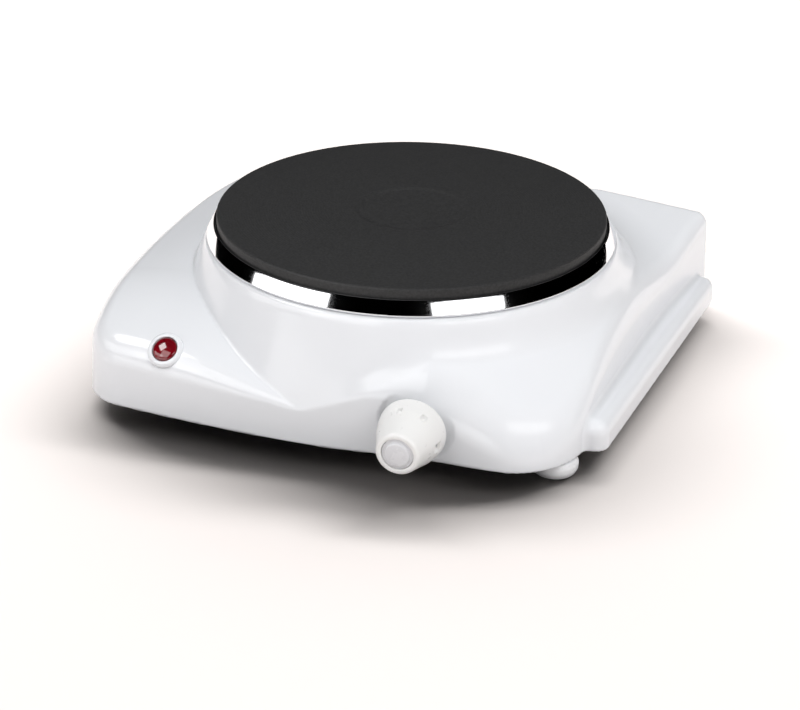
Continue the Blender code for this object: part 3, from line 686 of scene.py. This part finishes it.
def lamp_radius_at(x, y, z):
    """Distance from the lamp's axis."""
    offset = np.stack([x, y, z], -1) - np.array(LAMP_MOVE)
    local = offset @ np.array(LAMP_TURN)
    return np.hypot(local[..., 0], local[..., 1])


def outside_distance(x, y, z, body):
    """The body with its rail and the knob's pocket, cut level at the collar and at the foot."""
    outer = round_corner(body, z - COLLAR_TOP, 1.5)
    outer = round_join(outer, rail_distance(x, y, z), 3.0)
    outer = round_corner(outer, FLOOR_LEVEL - z, 1.0)
    return round_corner(outer, -pocket_distance(x, y, z, 0.0), 1.2)


def hollow_distance(x, y, z, body):
    """The room inside, less the pocket's wall and a post over each foot."""
    inner = np.maximum(body + WALL, z - COLLAR_TOP + WALL)
    inner = np.maximum(inner, -pocket_distance(x, y, z, POCKET_WALL))
    for foot_x, foot_y in FEET.values():
        post = np.maximum(np.hypot(x - foot_x, y - foot_y) - POST_RADIUS, BASE_HIGH + GAP - z)
        inner = round_corner(inner, -post, 5.0)
    return inner


def housing_field(points):
    """Signed distance to the moulded shell, with the holes through it."""
    x, y, z = points[:, 0], points[:, 1], points[:, 2]
    body = body_distance(x, y, z)
    shell = round_corner(outside_distance(x, y, z, body), -hollow_distance(x, y, z, body), 0.7)
    lamp_hole = BEZEL_BORE - lamp_radius_at(x, y, z)
    shell = np.where(z > 30.0, round_corner(shell, lamp_hole, 0.3), shell)
    collar_bore = np.maximum(np.hypot(x, y) - COLLAR_BORE, COLLAR_TOP - 12.0 - z)
    shell = round_corner(shell, -collar_bore, 0.6)
    gland_hole = np.maximum(np.hypot(x - GLAND_SPOT[0], z - GLAND_SPOT[1]) - GLAND_HOLE, 96.0 - y)
    shell = round_corner(shell, -gland_hole, 0.4)
    spindle_hole = np.maximum(np.hypot(x - KNOB_X, z - KNOB_Z) - SPINDLE_HOLE, y + 100.0)
    return round_corner(shell, -spindle_hole, 0.4)


def slope_of(field, points, step):
    """The field's gradient, by differences over a step each way."""
    slope = np.empty_like(points)
    for axis in range(3):
        shift = np.zeros(3)
        shift[axis] = step
        slope[:, axis] = (field(points + shift) - field(points - shift)) / (2 * step)
    return slope


def surface_net(field, low, high, cell):
    """Vertices and quads where a field is zero: one vertex in each grid cell that it crosses."""
    counts = [int(math.ceil((high[axis] - low[axis]) / cell)) + 1 for axis in range(3)]
    marks = [low[axis] + cell * np.arange(counts[axis]) for axis in range(3)]
    grid = np.stack(np.meshgrid(*marks, indexing="ij"), -1).reshape(-1, 3)
    values = np.concatenate([field(part) for part in np.array_split(grid, 12)]).reshape(counts)
    cells = np.array(counts) - 1
    total = int(np.prod(cells))
    sums = np.zeros((total, 3))
    hits = np.zeros(total)
    quads = []
    for axis in range(3):
        along = [slice(None)] * 3
        along[axis] = slice(0, -1)
        beyond = [slice(None)] * 3
        beyond[axis] = slice(1, None)
        start, end = values[tuple(along)], values[tuple(beyond)]
        edges = np.argwhere((start < 0) != (end < 0))
        start, end = start[tuple(edges.T)], end[tuple(edges.T)]
        spots = edges.astype(float)
        spots[:, axis] += start / (start - end)
        across, over = (axis + 1) % 3, (axis + 2) % 3
        corners = []
        for back_across, back_over in ((1, 1), (0, 1), (0, 0), (1, 0)):
            corner = edges.copy()
            corner[:, across] -= back_across
            corner[:, over] -= back_over
            number = np.ravel_multi_index(tuple(corner.T), tuple(cells), mode="clip")
            corners.append(number)
            hits += np.bincount(number, minlength=total)
            for part in range(3):
                sums[:, part] += np.bincount(number, weights=spots[:, part], minlength=total)
        quad = np.stack(corners, 1)
        quad[start > 0] = quad[start > 0][:, ::-1]
        quads.append(quad)
    used = np.flatnonzero(hits)
    renumber = np.full(total, -1)
    renumber[used] = np.arange(len(used))
    points = np.array(low) + cell * sums[used] / hits[used, None]
    return points, renumber[np.concatenate(quads)]


def settle(field, points, cell, rounds):
    """Move points on to the surface, by no more than half a cell at a time."""
    for _ in range(rounds):
        slope = slope_of(field, points, 0.05)
        square = np.maximum((slope**2).sum(1), 0.05)
        move = -(field(points) / square)[:, None] * slope
        length = np.sqrt((move**2).sum(1))
        points = points + move * np.minimum(1.0, 0.5 * cell / np.maximum(length, 1e-9))[:, None]
    return points


def relax(points, quads):
    """Each point moved to the middle of its neighbours."""
    starts = np.concatenate([quads[:, side] for side in range(4)] * 2)
    ends = np.concatenate([quads[:, (side + 1) % 4] for side in range(4)]
                          + [quads[:, side - 1] for side in range(4)])
    count = np.bincount(starts, minlength=len(points))[:, None]
    total = len(points)
    sums = [np.bincount(starts, weights=points[ends, axis], minlength=total) for axis in range(3)]
    return np.stack(sums, 1) / count


def make_form(name, field, low, high, cell, material, node, body="base"):
    """A piece meshed from its signed distance, shaded by the distance's own slope."""
    points, quads = surface_net(field, low, high, cell)
    points = settle(field, points, cell, 2)
    for _ in range(5):
        points = settle(field, relax(points, quads), cell, 2)
    points = settle(field, points, cell, 4)
    piece = make_piece(name, points, quads.tolist(), material, node, body)
    normals = slope_of(field, points, cell / 4)
    normals /= np.sqrt((normals**2).sum(1))[:, None]
    piece.data.normals_split_custom_set_from_vertices(normals)
    return piece


def make_housing(material):
    low, high = (-141.0, -120.0, 3.0), (140.0, 116.0, 72.0)
    return make_form("housing_shell", housing_field, low, high, CELL, material, "housing")


# ---------------------------------------------------------------- the knob


def outline_distance(across, along, outline):
    """Signed distance, in a plane, to a closed outline."""
    spots = np.stack([across, along], -1)
    square = np.full(across.shape, np.inf)
    inside = np.zeros(across.shape, bool)
    for index, end in enumerate(outline):
        start, end = np.array(outline[index - 1]), np.array(end)
        edge = end - start
        offset = spots - start
        share = np.clip((offset @ edge) / (edge @ edge), 0.0, 1.0)
        square = np.minimum(square, ((offset - share[..., None] * edge) ** 2).sum(-1))
        if start[1] != end[1]:
            crossing = (start[1] > along) != (end[1] > along)
            inside ^= crossing & (across < start[0] + (along - start[1]) * edge[0] / edge[1])
    return np.sqrt(square) * np.where(inside, -1.0, 1.0)


def knob_field(points):
    """Signed distance to the knob, with its six position dents."""
    x, y, z = points[:, 0] - KNOB_X, points[:, 1] - KNOB_END, points[:, 2] - KNOB_Z
    knob = outline_distance(np.hypot(x, z), y, KNOB_ROUNDED)
    for degrees, radius, half in DENTS:
        dent_x = (DENT_FLOOR + radius) * math.cos(math.radians(degrees))
        dent_z = (DENT_FLOOR + radius) * math.sin(math.radians(degrees))
        dent = np.hypot(x - dent_x, z - dent_z) - radius
        dent = round_corner(dent, np.abs(y - DENT_PLACE) - half, 0.6)
        knob = round_corner(knob, -dent, 0.4)
    return knob


def make_knob(material):
    low = (KNOB_X - 17.1, KNOB_END - 2.2, KNOB_Z - 17.1)
    high = (KNOB_X + 17.0, KNOB_END + 29.0, KNOB_Z + 17.0)
    return make_form("knob_shell", knob_field, low, high, KNOB_CELL, material, "control_knob", "knob")


# ---------------------------------------------------------------- turned pieces


def make_plate(material):
    """The cast plate, with its shallow central recess and rounded rim."""
    rim_low = COLLAR_TOP + 1.6
    outline = [
        (0.0, PLATE_TOP - 0.8), (24.5, PLATE_TOP - 0.8), (27.0, PLATE_TOP), (PLATE_RADIUS, PLATE_TOP),
        (PLATE_RADIUS, rim_low), (84.5, rim_low), (84.5, 60.0), (76.0, 60.0), (76.0, 69.0),
        (58.0, 69.0), (58.0, 60.0), (48.0, 60.0), (48.0, 69.0), (30.0, 69.0), (30.0, 60.0),
        (3.4, 60.0), (3.4, 70.0), (0.0, 70.0),
    ]
    radii = [0.0, 2.5, 2.5, 1.1, 0.5] + [0.0] * 13
    return turned("hot_plate", rounded(outline, radii), material, "cast_iron_plate", steps=192)


def make_ring(material):
    base = COLLAR_TOP + GAP
    outline = [
        (87.0, base), (97.0, base), (97.4, base + 0.8), (94.0, base + 6.4), (93.4, base + 6.7),
        (93.0, base + 6.2), (96.2, base + 1.0), (87.0, base + 1.0),
    ]
    radii = [0.3, 0.3, 0.4, 0.5, 0.0, 0.0, 0.3, 0.3]
    return turned("chrome_ring", rounded(outline, radii), material, "trim_ring", steps=256)


def make_lens(material):
    """The lamp's lens: a low dome on a plain body."""
    rim = LENS_RADIUS - 0.2
    angles = [math.radians(90 * step / 12) for step in range(12)]
    dome = [(rim * math.cos(angle), 0.2 + 1.9 * math.sin(angle)) for angle in angles]
    profile = [(0.0, -6.0), (5.4, -6.0), (5.4, -0.4), (rim, -0.2), *dome, (0.0, 2.1)]
    return turned("red_lens", profile, material, "pilot_lens", (LAMP_TURN, LAMP_MOVE), 64)


def make_bezel(material):
    """The raised rim of the housing round the lens."""
    outline = [(5.95, -2.0), (5.95, 0.7), (6.5, 1.1), (7.5, 0.9), (8.4, -0.1), (8.4, -2.0)]
    profile = rounded(outline, [0.0, 0.3, 0.5, 0.7, 0.5, 0.0])
    return turned("lamp_bezel", profile, material, "housing", (LAMP_TURN, LAMP_MOVE), 64)


def make_cap(material):
    """The slightly domed button in the knob's end, with a sunk rim round it."""
    outline = [
        (0.0, 3.7), (CAP_RADIUS, 3.7), (CAP_RADIUS, 0.7), (5.6, 0.7), (5.3, -0.75), (0.0, -0.95),
    ]
    profile = rounded(outline, [0.0, 0.0, 0.2, 0.3, 0.7, 0.0])
    place = (ALONG_BACK, (KNOB_X, KNOB_END, KNOB_Z))
    return turned("cap_disc", profile, material, "knob_cap", place, body="knob")


def make_feet(material):
    outline = [
        (2.2, 2.6), (4.6, 2.6), (4.6, 0.0), (7.6, 0.0), (9.4, 0.9), (10.5, 3.2), (10.5, 5.6), (9.4, 7.7),
        (6.0, 7.7), (6.0, 8.7), (2.2, 8.7),
    ]
    profile = rounded(outline, [0.2, 0.2, 0.2, 0.8, 1.5, 2.0, 2.0, 0.5, 0.0, 0.0, 0.0])
    return [
        turned(f"pad_{name}", profile, material, f"foot_{name}", (UPRIGHT, (x, y, 0.0)))
        for name, (x, y) in FEET.items()
    ]


def make_gland(material):
    outline = [
        (3.8, -8.0), (6.0, -8.0), (6.0, 0.0), (9.0, 0.3), (9.0, 1.6), (7.6, 3.0), (6.0, 6.0), (5.4, 11.0),
        (3.8, 11.0),
    ]
    profile = rounded(outline, [0.0, 0.0, 0.2, 0.2, 0.6, 1.5, 3.0, 0.5, 0.5])
    place = (ALONG_BACK, (GLAND_SPOT[0], GLAND_FACE, GLAND_SPOT[1]))
    return turned("gland_sleeve", profile, material, "cord_gland", place)


# ---------------------------------------------------------------- everything


def dress_frame(finishes):
    """Give each CAD node the finish of its slot."""
    for part in frame["record"]["subparts"]:
        mesh = frame["nodes"][part["node"]].data
        mesh.materials.clear()
        mesh.materials.append(finishes[part["material_slot"]])


def main():
    make_camera()
    finishes = make_finishes()
    dress_frame(finishes)
    makers = (
        (make_housing, "white_plastic"), (make_bezel, "white_plastic"), (make_plate, "black_cast_iron"),
        (make_ring, "chrome"), (make_lens, "red_lens"), (make_knob, "knob_plastic"),
        (make_cap, "cap_plastic"), (make_gland, "black_plastic"),
    )
    for make, slot in makers:
        make(finishes[slot])
    for foot in make_feet(finishes["foot_plastic"]):
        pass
    make_studio()


main()
